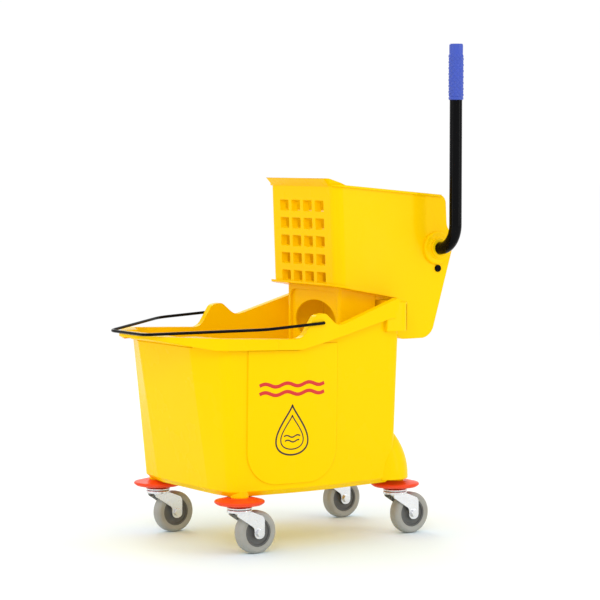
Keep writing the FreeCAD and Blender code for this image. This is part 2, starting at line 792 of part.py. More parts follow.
def housing_profile():
    """Side view of the housing, ahead of its front face and round the rear and tail."""
    tail_rear_x = SHAFT_X + TAIL_REACH - TAIL_SLOPE * (SHAFT_Z + TAIL_RISE - TAIL_BOTTOM_Z)
    return [
        (0, floor_z(0), 0),
        (FLOOR_REAR_X, FLOOR_REAR_Z, 3),
        (FLOOR_REAR_X, TAIL_BOTTOM_Z, 14),
        (tail_rear_x, TAIL_BOTTOM_Z, 30),
        (SHAFT_X + TAIL_REACH, SHAFT_Z + TAIL_RISE, 14),
        (SHAFT_X + SHOULDER_REACH, SHAFT_Z + SHOULDER_RISE, 24),
        (TOP_REAR_X + 18, top_z(TOP_REAR_X + 18), 17),
        (0, top_z(0), 0),
    ]


def sloped_band(z_of_x, low, high, x_low, x_high):
    """Thin plate that follows a sloping line, between two offsets from it."""
    corners = [
        (x_low, z_of_x(x_low) + low, 0),
        (x_high, z_of_x(x_high) + low, 0),
        (x_high, z_of_x(x_high) + high, 0),
        (x_low, z_of_x(x_low) + high, 0),
    ]
    return plate_xz(corners, -FAR, FAR)


def front_flare():
    """Lip that flares forward and up along the top of the front face."""
    tip_x = face_x(FLARE_TOP_Z) - FRONT_FLANGE

    def flare_plan(inset):
        half = [
            (tip_x, HALF_WIDTH - CHAMFER_Y, 10),
            (tip_x + FRONT_FLANGE + CHAMFER_X, HALF_WIDTH + SIDE_FLANGE, 14),
            (PLAN_REAR_X, HALF_WIDTH + SIDE_FLANGE, 0),
        ]
        return plan_wire(grown(both_sides(half), -inset), FLARE_TOP_Z)

    outer = loft([housing_plan(FLARE_LOW_Z, 0), flare_plan(0)])
    inner = loft([housing_plan(FLARE_LOW_Z, -SHELL), flare_plan(SHELL)])
    ridge_x = FACE_TOP_X + 24
    side_view = [
        (0, 500, 0),
        (ridge_x, 500, 0),
        (ridge_x, top_z(ridge_x), 0),
        (tip_x + 8, FLARE_TOP_Z, 12),
        (0, FLARE_TOP_Z, 0),
    ]
    return outer.cut(inner).common(plate_xz(side_view, -FAR, FAR))


def front_holes():
    """Tapered holes through the front face."""
    holes = []
    middle = (HOLE_COLUMNS - 1) / 2
    depth = FACE_PAD + SHELL + 4
    for row in range(HOLE_ROWS):
        z = HOLE_TOP_ROW_Z - row * HOLE_PITCH_Z
        x = face_x(z) - 2
        for column in range(HOLE_COLUMNS):
            y = (column - middle) * HOLE_PITCH_Y
            wires = []
            for place_x, inset in ((x, 0.0), (x + depth, HOLE_TAPER)):
                half_y = HOLE_WIDTH / 2 - inset
                half_z = HOLE_HEIGHT / 2 - inset
                corners = [
                    (y - half_y, z - half_z, 2),
                    (y + half_y, z - half_z, 2),
                    (y + half_y, z + half_z, 2),
                    (y - half_y, z + half_z, 2),
                ]
                wires.append(upright_wire(corners, place_x))
            holes.append(loft(wires))
    return Part.makeCompound(holes)


def drain_leg():
    """Hollow leg under the basket, with a recessed front panel and an oval opening."""
    corners = [
        (LEG_FRONT_X, -LEG_HALF, 5),
        (LEG_REAR_X, -LEG_HALF, 5),
        (LEG_REAR_X, LEG_HALF, 5),
        (LEG_FRONT_X, LEG_HALF, 5),
    ]
    outer = plate_xy(corners, LEG_BOTTOM_Z, FACE_LOW_Z + 10)
    space = [
        (LEG_FRONT_X + LEG_RECESS + SHELL, -LEG_HALF + SHELL, 3),
        (LEG_REAR_X - SHELL, -LEG_HALF + SHELL, 3),
        (LEG_REAR_X - SHELL, LEG_HALF - SHELL, 3),
        (LEG_FRONT_X + LEG_RECESS + SHELL, LEG_HALF - SHELL, 3),
    ]
    half = LEG_HALF - 10
    recess_top = floor_z(LEG_FRONT_X) - 8
    recess = [
        (-half, LEG_BOTTOM_Z + 12, 14),
        (half, LEG_BOTTOM_Z + 12, 14),
        (half, recess_top, 14),
        (-half, recess_top, 14),
    ]
    leg = outer.cut(plate_xy(space, LEG_BOTTOM_Z - 1, FACE_LOW_Z + 11))
    leg = leg.cut(plate_yz(recess, LEG_FRONT_X - 1, LEG_FRONT_X + LEG_RECESS))
    below_basket = sloped_band(floor_z, -300, 1, 0, 300)
    return leg.common(below_basket).cut(leg_opening())


def leg_opening():
    centre = Vec(LEG_FRONT_X - 5, 0, LEG_OPENING_Z)
    ellipse = Part.Ellipse(centre, LEG_OPENING_HALF, LEG_OPENING_HEIGHT / 2).toShape()
    wire = Part.Wire([ellipse])
    wire.rotate(centre, Vec(1, 0, 0), 90)
    wire.rotate(centre, Vec(0, 0, 1), 90)
    return Part.Face(wire).extrude(Vec(30, 0, 0))


def rim_rests():
    """Ribs under the basket that sit on the tub's rear rim."""
    ribs = []
    low_z = REAR_RIM_Z + FACE_GAP
    for y in (-LEG_HALF, -LEG_HALF / 3 - SHELL / 2, LEG_HALF / 3 - SHELL / 2, LEG_HALF - SHELL):
        ribs.append(block(LEG_REAR_X - 2, FLOOR_REAR_X, y, y + SHELL, low_z, floor_z(LEG_REAR_X)))
    under_floor = sloped_band(floor_z, -300, 1, 0, 300)
    return Part.makeCompound(ribs).common(under_floor)


def floor_drains():
    """Slots through the basket's floor into the leg."""
    slots = []
    for i in range(SLOT_COUNT):
        y = (i - (SLOT_COUNT - 1) / 2) * SLOT_PITCH
        slots.append(block(LEG_FRONT_X + 14, LEG_REAR_X - 8, y - SLOT_HALF, y + SLOT_HALF, 0, FAR))
    return Part.makeCompound(slots).common(sloped_band(floor_z, -12, SHELL + 2, 0, 300))


def shaft_boss():
    """Raised boss round the left end of the shaft, with a smaller ring on it."""
    outside = -HALF_WIDTH
    profile = [
        (0, outside + 12, 0),
        (BOSS_RADIUS - 8, outside + 12, 0),
        (BOSS_RADIUS, outside + SHELL, 0),
        (BOSS_RADIUS, outside - BOSS_RISE, 3),
        (BOSS_RADIUS - 9, outside - BOSS_RISE, 1),
        (BOSS_RADIUS - 10, outside - COLLAR_RISE, 1),
        (0, outside - COLLAR_RISE, 0),
    ]
    return turned_y(SHAFT_X, SHAFT_Z, profile)


def wringer_housing():
    column = housing_column(0)
    profile = housing_profile()
    body = plate_xz(profile, -FAR, FAR).common(column)
    side_lip = sloped_band(top_z, -4, 0, FACE_TOP_X, TOP_REAR_X + 6)
    foot_lip = sloped_band(floor_z, 0, 4, 0, FACE_LOW_X + 24)
    body = body.fuse([
        side_lip.common(housing_column(SIDE_FLANGE)),
        foot_lip.common(housing_column(FOOT_FLANGE)),
        drain_leg(),
        rim_rests(),
    ])
    inner_column = housing_column(-SHELL)
    cavity = plate_xz(grown(profile, -SHELL), -FAR, FAR).common(inner_column)
    mouth = inner_column.common(block(0, DECK_FRONT_X, -200, 200, 590, 700))
    body = body.cut(cavity).cut(mouth)
    body = body.fuse([front_flare(), with_mirror(shaft_boss()), front_pad()])
    body = body.cut(front_holes()).cut(floor_drains())

    bore = LEVER_RADIUS + BUSH_WALL
    body = body.cut(rod_y(SHAFT_X, SHAFT_Z, bore, -FAR, FAR))
    body = body.cut(rod_y(GUIDE_X, GUIDE_Z, SCREW_RADIUS, -FAR, FAR))
    for y in (-PINION_Y, PINION_Y):
        slot_half = PINION_WIDTH / 2 + 2
        low_z = rack_low_z() - 3
        body = body.cut(block(SHAFT_X, 400, y - slot_half, y + slot_half, low_z, rack_top_z() + 3))
    keep("wringer_housing", body)


def front_pad():
    """Thick grid behind the front face that carries the holes."""
    half = HOLE_COLUMNS * HOLE_PITCH_Y / 2 + 3
    bottom_z = HOLE_TOP_ROW_Z - (HOLE_ROWS - 0.5) * HOLE_PITCH_Z
    inner = housing_column(-SHELL + 0.5).cut(housing_column(-SHELL - FACE_PAD))
    area = block(0, 90, -half, half, bottom_z, HOLE_TOP_ROW_Z + HOLE_PITCH_Z / 2)
    above_floor = sloped_band(floor_z, 1, 400, 0, 300)
    return inner.common(area).common(above_floor)


# ---------------------------------------------------------------- press

def rack_pitch_z():
    return SHAFT_Z - PINION_TEETH * GEAR_MODULE / 2


def rack_low_z():
    return rack_pitch_z() - GEAR_MODULE - ROOT_GAP - RACK_BODY


def rack_top_z():
    return rack_pitch_z() + RACK_ADDENDUM


def press_plate():
    """Flat plate across the basket with ridges in front and ribs behind."""
    half = HALF_WIDTH - SHELL - PLATE_SIDE_GAP
    corners = [
        (-half, PLATE_BOTTOM_Z, 8),
        (half, PLATE_BOTTOM_Z, 8),
        (half, PLATE_TOP_Z, 8),
        (-half, PLATE_TOP_Z, 8),
    ]
    front_x = PLATE_X - PLATE_THICKNESS
    plate = plate_yz(corners, front_x, PLATE_X)
    ridges = []
    for i in range(RIDGE_COUNT):
        y = (i - (RIDGE_COUNT - 1) / 2) * RIDGE_PITCH
        ridges.append(block(front_x - 4, front_x + 1, y - RIDGE_HALF, y + RIDGE_HALF,
                            PLATE_BOTTOM_Z + 8, PLATE_TOP_Z - 8))
    ribs = []
    for z in (PLATE_BOTTOM_Z + 50, PLATE_BOTTOM_Z + 95, PLATE_TOP_Z - 12):
        ribs.append(block(PLATE_X - 1, PLATE_X + 8, -half + 6, half - 6, z, z + 4))
    plate = plate.fuse(ridges + ribs)
    for y in (-PINION_Y, PINION_Y):
        middle_z = rack_low_z() + RACK_BODY / 2
        hole = Part.makeCylinder(SCREW_RADIUS, 30, Vec(front_x - 10, y, middle_z), X_AXIS)
        recess = Part.makeCylinder(SCREW_HEAD_RADIUS, 30, Vec(front_x - 30, y, middle_z), X_AXIS)
        plate = plate.cut(hole).cut(recess)
    keep("press_plate", plate)


def rack(name, y):
    """Toothed bar from the plate rearward under the shaft."""
    low_z = rack_low_z()
    root_z = low_z + RACK_BODY
    top = rack_top_z()
    pitch = math.pi * GEAR_MODULE
    pitch_z = rack_pitch_z()
    half_width = PINION_WIDTH / 2
    bar = block(PLATE_X, RACK_REAR_X, y - half_width, y + half_width, low_z, root_z)
    bar = bar.fuse(block(PLATE_X, SHAFT_X - RACK_PLAIN, y - half_width, y + half_width, low_z, pitch_z))
    thick = pitch / 2 - BACKLASH
    lean = math.tan(PRESSURE_ANGLE)
    teeth = []
    first = -1
    centre = SHAFT_X + (first + 0.5) * pitch
    while centre + pitch / 2 < RACK_REAR_X:
        half_root = thick / 2 + (pitch_z - root_z + 1) * lean
        half_top = thick / 2 - (top - pitch_z) * lean
        corners = [
            (centre - half_root, root_z - 1, 0),
            (centre + half_root, root_z - 1, 0),
            (centre + half_top, top, 0.6),
            (centre - half_top, top, 0.6),
        ]
        teeth.append(plate_xz(corners, y - half_width, y + half_width))
        centre += pitch
    bar = bar.fuse(teeth)
    middle_z = low_z + RACK_BODY / 2
    hole = Part.makeCylinder(SCREW_RADIUS, 20, Vec(PLATE_X - 2, y, middle_z), X_AXIS)
    keep(name, bar.cut(hole))


def rack_screws():
    screws = []
    front_x = PLATE_X - PLATE_THICKNESS
    for y in (-PINION_Y, PINION_Y):
        middle_z = rack_low_z() + RACK_BODY / 2
        shank = Part.makeCylinder(SCREW_RADIUS, 18 + PLATE_THICKNESS, Vec(front_x, y, middle_z), X_AXIS)
        head = Part.makeCylinder(SCREW_HEAD_RADIUS - 0.5, 3, Vec(front_x - 3, y, middle_z), X_AXIS)
        screws.append(shank.fuse(head))
    keep("rack_screws", Part.makeCompound(screws))


def rack_guide():
    """Crosspiece with two grooves that the racks slide in."""
    half = HALF_WIDTH - SHELL
    low_x = GUIDE_X - GUIDE_SECTION_X / 2
    high_x = GUIDE_X + GUIDE_SECTION_X / 2
    bar = block(low_x, high_x, -half, half, GUIDE_Z - 13, GUIDE_Z + 8)
    for y in (-PINION_Y, PINION_Y):
        groove_half = PINION_WIDTH / 2 + SIDE_GAP
        bar = bar.cut(block(low_x - 1, high_x + 1, y - groove_half, y + groove_half,
                            rack_low_z() - FACE_GAP, GUIDE_Z + 20))
    bar = bar.cut(rod_y(GUIDE_X, GUIDE_Z, SCREW_RADIUS, half - GUIDE_SCREW_DEPTH, half))
    bar = bar.cut(rod_y(GUIDE_X, GUIDE_Z, SCREW_RADIUS, -half, -half + GUIDE_SCREW_DEPTH))
    keep("rack_guide", bar)


def guide_screws():
    inner_y = HALF_WIDTH - SHELL - GUIDE_SCREW_DEPTH
    shank = rod_y(GUIDE_X, GUIDE_Z, SCREW_RADIUS, inner_y, HALF_WIDTH)
    profile = [
        (0, HALF_WIDTH, 0),
        (SCREW_HEAD_RADIUS, HALF_WIDTH, 0),
        (SCREW_HEAD_RADIUS, HALF_WIDTH + 4, 2),
        (0, HALF_WIDTH + 4, 0),
    ]
    screw = shank.fuse(turned_y(GUIDE_X, GUIDE_Z, profile))
    keep("right_guide_screw", screw)
    keep("left_guide_screw", mirrored(screw))


# ---------------------------------------------------------------- lever

def involute_point(base_radius, angle, centre_angle, side):
    """Point on an involute flank that starts on the base circle."""
    radius = base_radius / math.cos(angle)
    turn = math.tan(angle) - angle
    direction = centre_angle - side * turn
    return Vec(SHAFT_X + radius * math.cos(direction), 0, SHAFT_Z + radius * math.sin(direction))


def pinion_face():
    """Outline of the pinion in the plane y = 0, one tooth pointing straight down."""
    pitch_radius = PINION_TEETH * GEAR_MODULE / 2
    base_radius = pitch_radius * math.cos(PRESSURE_ANGLE)
    tip_radius = pitch_radius + GEAR_MODULE
    root_radius = pitch_radius - RACK_ADDENDUM - ROOT_GAP
    half_tooth = math.pi / (2 * PINION_TEETH) - BACKLASH / (4 * pitch_radius)
    half_at_base = half_tooth + math.tan(PRESSURE_ANGLE) - PRESSURE_ANGLE
    tip_angle = math.acos(base_radius / tip_radius)
    steps = 5
    points = []
    for tooth in range(PINION_TEETH):
        middle = math.radians(-90) + tooth * 2 * math.pi / PINION_TEETH
        start = middle - half_at_base
        points.append(polar(root_radius, start))
        for i in range(steps + 1):
            points.append(involute_point(base_radius, tip_angle * i / steps, start, -1))
        end = middle + half_at_base
        for i in range(steps, -1, -1):
            points.append(involute_point(base_radius, tip_angle * i / steps, end, 1))
        points.append(polar(root_radius, end))
    return Part.Face(Part.makePolygon(points + [points[0]]))


def polar(radius, angle):
    return Vec(SHAFT_X + radius * math.cos(angle), 0, SHAFT_Z + radius * math.sin(angle))


def pinion(name, side):
    """Gear on the shaft, with a hub towards the middle that a pin crosses."""
    half = PINION_WIDTH / 2
    gear = pinion_face().extrude(Vec(0, PINION_WIDTH, 0))
    gear.translate(Vec(0, side * PINION_Y - half, 0))
    inner = side * (PINION_Y - half)
    hub_low = min(inner, inner - side * PINION_HUB)
    hub = rod_y(SHAFT_X, SHAFT_Z, PINION_HUB_RADIUS, hub_low, hub_low + PINION_HUB)
    body = gear.fuse(hub).cut(rod_y(SHAFT_X, SHAFT_Z, LEVER_RADIUS, -200, 200))
    keep(name, body.cut(pin_shape(side)))


def pin_shape(side):
    y = side * (PINION_Y - PINION_WIDTH / 2 - PINION_HUB / 2)
    return rod_z(SHAFT_X, y, PIN_RADIUS, SHAFT_Z - PINION_HUB_RADIUS, SHAFT_Z + PINION_HUB_RADIUS)


def lever_path():
    side_y = -HALF_WIDTH - LEVER_OUT
    points = [
        Vec(SHAFT_X, shaft_end_y(), SHAFT_Z),
        Vec(SHAFT_X, side_y, SHAFT_Z),
        Vec(SHAFT_X, side_y, LEVER_TOP_Z - GRIP_CAP),
    ]
    return points


def shaft_end_y():
    return HALF_WIDTH + COLLAR_RISE + BUSH_FLANGE


def lever_tube():
    """Bent tube: the shaft across the housing and the upright lever in one piece."""
    points = lever_path()
    bar = swept(rounded_path(points, [LEVER_BEND]), points[0], Y_AXIS, LEVER_RADIUS)
    bore = swept(rounded_path(points, [LEVER_BEND]), points[0], Y_AXIS, LEVER_RADIUS - LEVER_WALL)
    body = bar.cut(bore)
    for side in (-1, 1):
        body = body.cut(pin_shape(side))
    keep("lever_tube", body)


def lever_grip():
    side_y = -HALF_WIDTH - LEVER_OUT
    low_z = LEVER_TOP_Z - GRIP_LENGTH
    profile = [
        (0, low_z, 0),
        (GRIP_RADIUS, low_z, 2),
        (GRIP_RADIUS, LEVER_TOP_Z - 9, 1),
        (GRIP_RADIUS - 1.5, LEVER_TOP_Z - 8, 1),
        (GRIP_RADIUS - 1.5, LEVER_TOP_Z, 3),
        (0, LEVER_TOP_Z, 0),
    ]
    grip = turned_z(SHAFT_X, side_y, profile)
    hole = rod_z(SHAFT_X, side_y, LEVER_RADIUS, low_z - 1, LEVER_TOP_Z - GRIP_CAP)
    keep("lever_grip", grip.cut(hole))


def shaft_bush():
    """Flanged sleeve in the right-hand boss."""
    bore = LEVER_RADIUS + RUNNING_CLEARANCE
    outer = LEVER_RADIUS + BUSH_WALL
    inner_y = HALF_WIDTH - 12
    face_y = HALF_WIDTH + COLLAR_RISE
    profile = [
        (bore, inner_y, 0),
        (outer, inner_y, 0),
        (outer, face_y, 0),
        (outer + 3, face_y, 0),
        (outer + 3, face_y + BUSH_FLANGE - SIDE_GAP, 1),
        (bore, face_y + BUSH_FLANGE - SIDE_GAP, 0),
    ]
    return turned_y(SHAFT_X, SHAFT_Z, profile)


def end_cap():
    low_y = shaft_end_y()
    profile = [
        (0, low_y - 12, 0),
        (LEVER_RADIUS - LEVER_WALL, low_y - 12, 1),
        (LEVER_RADIUS - LEVER_WALL, low_y, 0),
        (LEVER_RADIUS + 4, low_y, 0),
        (LEVER_RADIUS + 4, low_y + 4, 2),
        (0, low_y + 4, 0),
    ]
    keep("shaft_end_cap", turned_y(SHAFT_X, SHAFT_Z, profile))


def lever():
    lever_tube()
    lever_grip()
    pinion("left_pinion", -1)
    pinion("right_pinion", 1)
    keep("pinion_pins", Part.makeCompound([pin_shape(-1), pin_shape(1)]))
    bush = shaft_bush()
    keep("right_shaft_bush", bush)
    keep("left_shaft_bush", mirrored(bush))
    end_cap()


def press():
    press_plate()
    rack("left_rack", -PINION_Y)
    rack("right_rack", PINION_Y)
    rack_screws()
    rack_guide()
    guide_screws()


tub()
bail()
casters()
wringer_housing()
press()
lever()

os.makedirs("parts", exist_ok=True)
for node_name, solid in NODES.items():
    solid.exportStep("parts/" + node_name + ".step")
    print(node_name, len(solid.Solids), solid.isValid(), round(solid.Volume / 1000, 1))
press_travel = LEVER_SWING * PINION_TEETH * GEAR_MODULE / 2
print(len(NODES), "nodes; press plate travel", round(press_travel, 1), "mm")
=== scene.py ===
import json
import math

import bmesh
import bpy
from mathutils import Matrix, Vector
from mathutils.bvhtree import BVHTree


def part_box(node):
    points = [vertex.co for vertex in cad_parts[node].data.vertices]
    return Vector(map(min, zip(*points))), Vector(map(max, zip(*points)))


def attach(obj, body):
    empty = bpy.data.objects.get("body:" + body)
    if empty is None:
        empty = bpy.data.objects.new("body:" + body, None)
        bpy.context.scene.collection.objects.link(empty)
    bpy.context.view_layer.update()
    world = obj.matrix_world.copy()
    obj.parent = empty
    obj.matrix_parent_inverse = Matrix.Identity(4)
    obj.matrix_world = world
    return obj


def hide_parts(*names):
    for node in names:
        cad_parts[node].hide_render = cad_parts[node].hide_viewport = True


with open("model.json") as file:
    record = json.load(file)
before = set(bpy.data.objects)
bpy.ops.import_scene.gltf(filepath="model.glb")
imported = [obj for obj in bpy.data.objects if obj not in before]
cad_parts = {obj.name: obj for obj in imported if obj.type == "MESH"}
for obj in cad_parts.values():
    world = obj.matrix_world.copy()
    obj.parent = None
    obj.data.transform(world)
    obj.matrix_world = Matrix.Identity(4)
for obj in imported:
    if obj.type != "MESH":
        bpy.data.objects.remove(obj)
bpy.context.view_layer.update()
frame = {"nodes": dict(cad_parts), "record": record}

# Metres throughout.  -X is the pouring lip, +X the wringer, -Y the side with the lever.

# ---------------------------------------------------------------- camera, floor and light

CAMERA_PLACE = (-2.309, -3.5519, 0.6994)
CAMERA_AZIMUTH = 33.5         # degrees, turned from +Y towards +X
CAMERA_PITCH = 3.6            # degrees below the horizon
LENS = 139.1
SENSOR = 36.0
WORLD_LIGHT = 1.02
BOUNCE_COUNTER_INSIDE = 0.15            # the floor's painted cool middle, offsetting the tub's yellow bounce light, fades out between these distances
BOUNCE_COUNTER_OUTSIDE = 0.75


def add_camera():
    data = bpy.data.cameras.new("camera")
    data.lens = LENS
    data.sensor_width = SENSOR
    camera = bpy.data.objects.new("camera", data)
    camera.location = CAMERA_PLACE
    camera.rotation_euler = (math.radians(90 - CAMERA_PITCH), 0, math.radians(-CAMERA_AZIMUTH))
    bpy.context.collection.objects.link(camera)
    bpy.context.scene.camera = camera


def add_light(name, place, target, size, power, height=None):
    data = bpy.data.lights.new(name, "AREA")
    data.shape = "RECTANGLE" if height else "DISK"
    data.size = size
    if height:
        data.size_y = height
    data.energy = power
    light = bpy.data.objects.new(name, data)
    light.location = place
    aim = Vector(target) - Vector(place)
    light.rotation_euler = aim.to_track_quat("-Z", "Y").to_euler()
    bpy.context.collection.objects.link(light)


def floor_paper():
    """Matt white paper with a painted cool tint under the object, offsetting the yellow light that
    the tub bounces onto it.
    """
    material = bpy.data.materials.new("floor_paper")
    material.use_nodes = True
    tree = material.node_tree
    shader = tree.nodes["Principled BSDF"]
    shader.inputs["Roughness"].default_value = 0.9
    shader.inputs["Specular IOR Level"].default_value = 0.0
    place = tree.nodes.new("ShaderNodeTexCoord").outputs["Object"]
    distance = tree.nodes.new("ShaderNodeVectorMath")
    distance.operation = "LENGTH"
    tree.links.new(place, distance.inputs[0])
    share = tree.nodes.new("ShaderNodeMapRange")
    share.interpolation_type = "SMOOTHSTEP"
    share.inputs["From Min"].default_value = BOUNCE_COUNTER_INSIDE
    share.inputs["From Max"].default_value = BOUNCE_COUNTER_OUTSIDE
    tree.links.new(distance.outputs["Value"], share.inputs["Value"])
    # painted counter-tint: bluish under the object, fading to white further out, to cancel the
    # tub's yellow bounce light
    mix = tree.nodes.new("ShaderNodeMix")
    mix.data_type = "RGBA"
    mix.inputs["A"].default_value = (0.84, 0.95, 1.0, 1)
    mix.inputs["B"].default_value = (0.99, 0.99, 0.99, 1)
    tree.links.new(share.outputs["Result"], mix.inputs["Factor"])
    tree.links.new(mix.outputs["Result"], shader.inputs["Base Color"])
    return material


def add_studio():
    scene = bpy.context.scene
    scene.view_settings.view_transform = "Standard"
    world = bpy.data.worlds.new("studio")
    world.use_nodes = True
    world.node_tree.nodes["Background"].inputs["Color"].default_value = (1, 1, 1, 1)
    world.node_tree.nodes["Background"].inputs["Strength"].default_value = WORLD_LIGHT
    scene.world = world
    middle = (0, 0, 0.35)
    add_light("key", (-2.4, -2.6, 2.6), middle, 0.9, 18)
    add_light("left_strip", (-2.5, 0.1, 1.0), (0, 0, 0.6), 0.25, 5, 1.7)
    add_light("right_strip", (1.6, -2.3, 1.0), (0, 0, 0.6), 0.25, 9, 1.7)
    add_light("back", (0.8, 2.6, 2.2), middle, 1.2, 14)

    mesh = bpy.data.meshes.new("floor")
    build = bmesh.new()
    bmesh.ops.create_grid(build, x_segments=8, y_segments=8, size=40)
    build.to_mesh(mesh)
    build.free()
    floor = bpy.data.objects.new("floor", mesh)
    bpy.context.collection.objects.link(floor)
    mesh.materials.append(floor_paper())


# ---------------------------------------------------------------- materials

class Finish:
    """One procedural material; each method adds a layer of detail to its shader."""

    def __init__(self, name, colour, roughness, metallic=0.0):
        self.material = bpy.data.materials.new(name)
        self.material.use_nodes = True
        self.tree = self.material.node_tree
        self.shader = self.tree.nodes["Principled BSDF"]
        self.shader.inputs["Base Color"].default_value = (*colour, 1)
        self.shader.inputs["Roughness"].default_value = roughness
        self.shader.inputs["Metallic"].default_value = metallic
        self.colour = colour
        self.roughness = roughness
        self.coordinates = self.tree.nodes.new("ShaderNodeTexCoord").outputs["Object"]
        self.normal = None

    def noise(self, scale, detail=3.0, stretch=None):
        node = self.tree.nodes.new("ShaderNodeTexNoise")
        node.inputs["Scale"].default_value = scale
        node.inputs["Detail"].default_value = detail
        source = self.coordinates
        if stretch:
            mapping = self.tree.nodes.new("ShaderNodeMapping")
            mapping.inputs["Scale"].default_value = stretch
            self.tree.links.new(source, mapping.inputs["Vector"])
            source = mapping.outputs["Vector"]
        self.tree.links.new(source, node.inputs["Vector"])
        return node.outputs["Fac"]

    def ramp(self, source, low, high):
        node = self.tree.nodes.new("ShaderNodeMapRange")
        node.inputs["From Min"].default_value = 0.3
        node.inputs["From Max"].default_value = 0.7
        node.inputs["To Min"].default_value = low
        node.inputs["To Max"].default_value = high
        self.tree.links.new(source, node.inputs["Value"])
        return node.outputs["Result"]

    def mottle(self, other, scale, amount):
        """Blends the colour slightly towards another in soft patches."""
        mix = self.tree.nodes.new("ShaderNodeMix")
        mix.data_type = "RGBA"
        mix.inputs["A"].default_value = (*self.colour, 1)
        mix.inputs["B"].default_value = (*other, 1)
        self.tree.links.new(self.ramp(self.noise(scale), 0, amount), mix.inputs["Factor"])
        self.tree.links.new(mix.outputs["Result"], self.shader.inputs["Base Color"])
        return self

    def uneven_gloss(self, scale, spread, stretch=None):
        source = self.noise(scale, 4.0, stretch)
        result = self.ramp(source, self.roughness - spread, self.roughness + spread)
        self.tree.links.new(result, self.shader.inputs["Roughness"])
        return self

    def rounded_edges(self, radius):
        node = self.tree.nodes.new("ShaderNodeBevel")
        node.samples = 4
        node.inputs["Radius"].default_value = radius
        self.link_normal(node.outputs["Normal"])
        return self

    def relief(self, scale, depth, detail=2.0, stretch=None):
        node = self.tree.nodes.new("ShaderNodeBump")
        node.inputs["Distance"].default_value = depth
        node.inputs["Strength"].default_value = 1.0
        self.tree.links.new(self.noise(scale, detail, stretch), node.inputs["Height"])
        if self.normal:
            self.tree.links.new(self.normal, node.inputs["Normal"])
        self.link_normal(node.outputs["Normal"])
        return self

    def link_normal(self, socket):
        self.normal = socket
        self.tree.links.new(socket, self.shader.inputs["Normal"])

    def set(self, name, value):
        self.shader.inputs[name].default_value = value
        return self


YELLOW = (0.93, 0.565, 0.0)
DEEP_YELLOW = (0.92, 0.545, 0.0)


def make_finishes():
    finishes = {}
    for slot_name in ("tub_plastic", "wringer_plastic"):
        plastic = Finish(slot_name, YELLOW, 0.26).set("Specular IOR Level", 0.04)
        # painted light: a faint yellow emission makes the plastic glow, brightening its shaded
        # hollows and insides in place of light shining through the plastic
        plastic.set("Emission Color", (1.0, 0.85, 0.0, 1)).set("Emission Strength", 0.06)
        plastic.mottle(DEEP_YELLOW, 4.0, 0.6).uneven_gloss(14.0, 0.05)
        plastic.rounded_edges(0.0016).relief(900.0, 0.00003)
        finishes[slot_name] = plastic
    bumper = Finish("bumper_plastic", (0.93, 0.065, 0.008), 0.36).set("Specular IOR Level", 0.25)
    bumper.mottle((0.85, 0.055, 0.01), 20.0, 0.7).uneven_gloss(30.0, 0.06)
    finishes["bumper_plastic"] = bumper.rounded_edges(0.001).relief(1200.0, 0.00003)
    steel = Finish("black_steel", (0.002, 0.002, 0.0025), 0.10)
    steel.uneven_gloss(60.0, 0.03)
    finishes["black_steel"] = steel.set("Specular IOR Level", 0.07)
    black = Finish("black_plastic", (0.018, 0.018, 0.018), 0.42)
    finishes["black_plastic"] = black.uneven_gloss(80.0, 0.08).relief(1500.0, 0.00003)
    vinyl = Finish("grip_vinyl", (0.045, 0.085, 0.47), 0.36).set("Specular IOR Level", 0.3)
    vinyl.mottle((0.05, 0.09, 0.42), 90.0, 0.8).uneven_gloss(120.0, 0.08)
    finishes["grip_vinyl"] = vinyl.relief(2200.0, 0.00002)
    zinc = Finish("zinc_steel", (0.74, 0.75, 0.76), 0.26, 1.0)
    zinc.mottle((0.70, 0.71, 0.74), 70.0, 0.8).uneven_gloss(90.0, 0.07)
    finishes["zinc_steel"] = zinc.rounded_edges(0.0007).relief(260.0, 0.00003)
    gear = Finish("gear_steel", (0.42, 0.42, 0.43), 0.36, 1.0)
    gear.mottle((0.30, 0.29, 0.28), 60.0, 0.8).uneven_gloss(90.0, 0.10)
    finishes["gear_steel"] = gear.rounded_edges(0.0005).relief(800.0, 0.00004, 2.0, (1, 1, 0.1))
    nylon = Finish("nylon", (0.78, 0.77, 0.71), 0.5)
    finishes["nylon"] = nylon.mottle((0.72, 0.70, 0.63), 25.0, 0.8).relief(900.0, 0.00003)
    hub = Finish("hub_plastic", (0.105, 0.105, 0.10), 0.45)
    hub.mottle((0.075, 0.073, 0.068), 50.0, 0.8).uneven_gloss(70.0, 0.08)
    finishes["hub_plastic"] = hub.rounded_edges(0.0008).relief(1000.0, 0.00003)
    tyre = Finish("tyre_rubber", (0.36, 0.355, 0.32), 0.55)
    tyre.mottle((0.30, 0.29, 0.25), 35.0, 0.8).uneven_gloss(50.0, 0.08)
    finishes["tyre_rubber"] = tyre.relief(1100.0, 0.00006).relief(120.0, 0.0001)
    finishes["red_ink"] = Finish("red_ink", (0.62, 0.012, 0.006), 0.5).uneven_gloss(300.0, 0.08)
    finishes["black_ink"] = Finish("black_ink", (0.02, 0.014, 0.008), 0.5).uneven_gloss(300.0, 0.08)
    return finishes


def paint_nodes(finishes):
    """Every CAD piece takes the finish of its slot in the record."""
    for part in frame["record"]["subparts"]:
        obj = frame["nodes"][part["node"]]
        obj.data.materials.clear()
        obj.data.materials.append(finishes[part["material_slot"]].material)


# ---------------------------------------------------------------- meshes

def new_piece(name, verts, faces, finish, body):
    mesh = bpy.data.meshes.new(name)
    mesh.from_pydata(verts, [], faces)
    mesh.materials.append(finish.material)
    for face in mesh.polygons:
        face.use_smooth = True
    obj = bpy.data.objects.new(name, mesh)
    bpy.context.collection.objects.link(obj)
    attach(obj, body)
    return obj


# ---------------------------------------------------------------- lever grip

